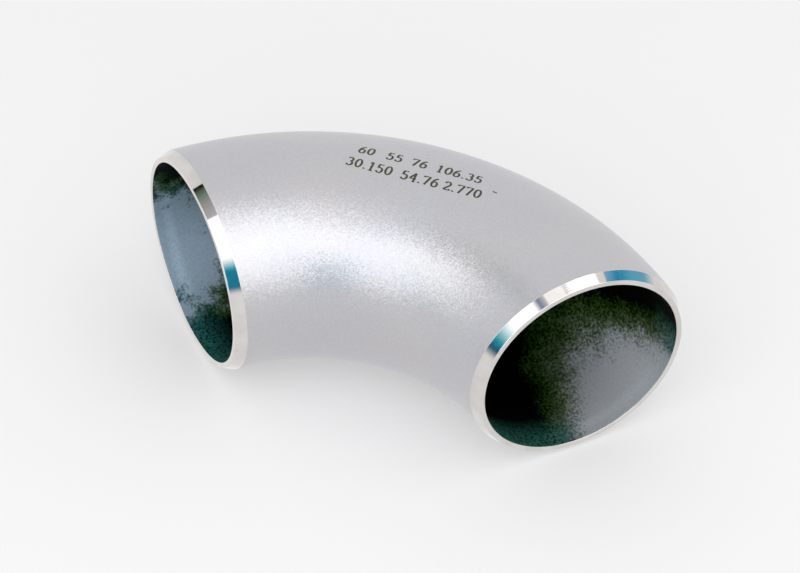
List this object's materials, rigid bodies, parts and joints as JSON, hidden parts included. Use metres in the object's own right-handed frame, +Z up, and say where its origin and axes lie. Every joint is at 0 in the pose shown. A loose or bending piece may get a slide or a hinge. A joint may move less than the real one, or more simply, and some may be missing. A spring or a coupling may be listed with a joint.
{
  "type": "pipe elbow",
  "caption": "Seamless long-radius right-angle butt-weld pipe elbow in pickled stainless steel, with bevelled ends for welding to pipe.",
  "frame": {"origin": "centre of the inlet's weld face, on the tube's centre line", "axes": "+Y into the inlet along its bore, +X out of the outlet along its bore, +Z up, square to the bend plane, with the elbow lying flat on its side"},
  "size_m": [0.1063, 0.1063, 0.0602],
  "materials": {
    "stainless_steel": "pickled satin outside, bright turned weld ends, dull bore"
  },
  "bodies": {
    "root": {"elbow_body": "stainless_steel"}
  },
  "joints": []
}
